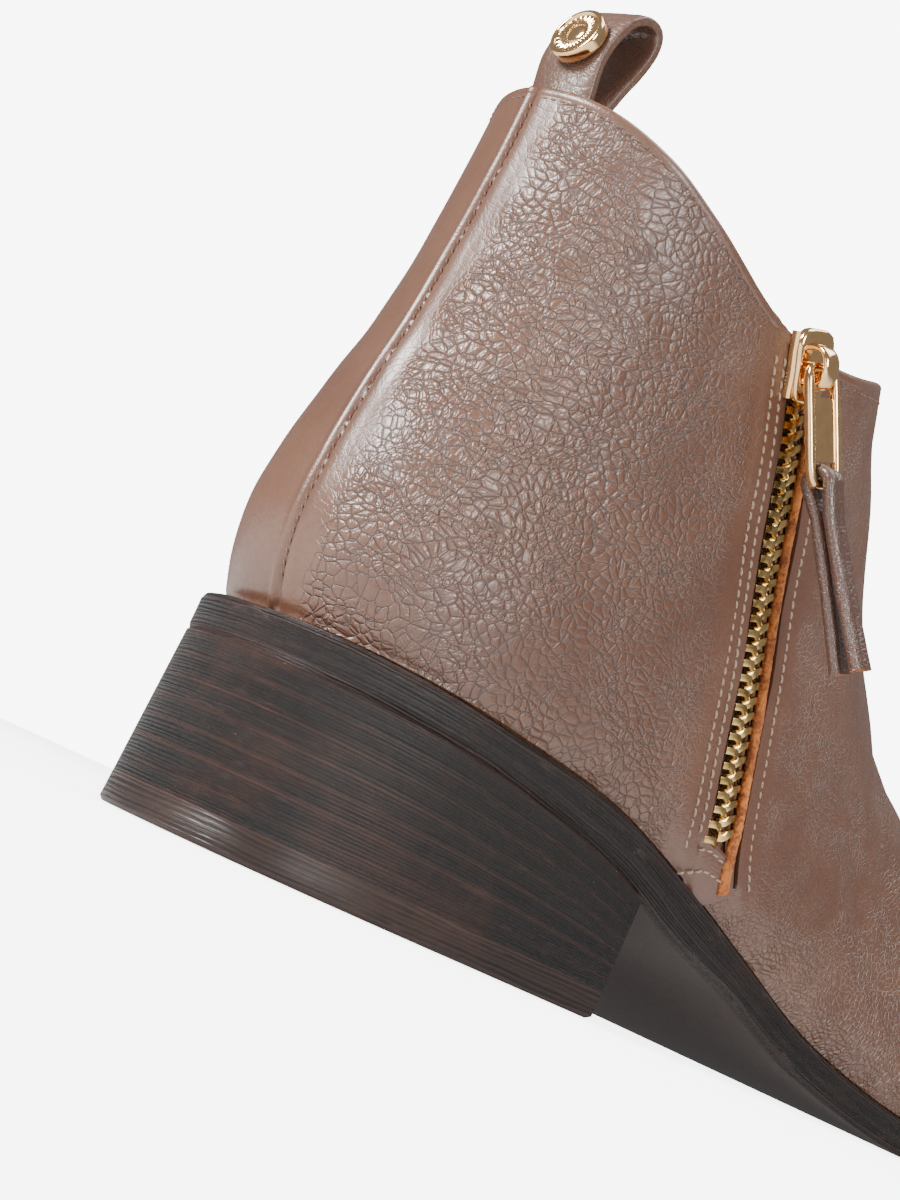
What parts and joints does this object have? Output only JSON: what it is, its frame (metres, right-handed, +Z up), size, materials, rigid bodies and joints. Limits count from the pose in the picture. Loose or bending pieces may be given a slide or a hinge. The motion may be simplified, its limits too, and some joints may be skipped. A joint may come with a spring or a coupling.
{
  "type": "zip ankle boot",
  "caption": "Left leather ankle boot with an inner side zip, a low stacked block heel and a pull loop with a round stud.",
  "frame": {"origin": "middle of the heel's flat foot, on the floor", "axes": "+Y to the toe, +X to the wearer's right, which is this left boot's inner side, +Z up"},
  "size_m": [0.0967, 0.2658, 0.1442],
  "materials": {
    "outsole": "satin dark brown sole",
    "heel_stack": "finely grooved dark brown stack",
    "top_lift": "ribbed tread, satin edge",
    "lining": "plain tan lining",
    "upper_leather": "pebbled taupe brown, half gloss",
    "zip_tape": "woven brown tape",
    "antique_brass": "worn antique brass teeth",
    "raw_edge": "raw tan cut edge",
    "gold": "polished pale gold"
  },
  "bodies": {
    "boot": {"outsole": "outsole", "heel_block": "heel_stack", "top_lift": "top_lift", "insole": "lining", "upper": "upper_leather", "zip_tape": "zip_tape", "zip_chain": "antique_brass", "zip_front_edge": "raw_edge", "zip_slider": "gold", "pull_loop": "upper_leather", "loop_stud": "gold"},
    "pull": {"zip_pull": "gold", "pull_tassel": "upper_leather"}
  },
  "joints": [
    {"name": "pull_swing", "type": "hinge", "parent": "boot", "child": "pull", "pos_m": [0.03143, 0.02235, 0.10738], "axis": [0.0248, -0.9354, -0.3528], "range_deg": [-12, 150]}
  ]
}
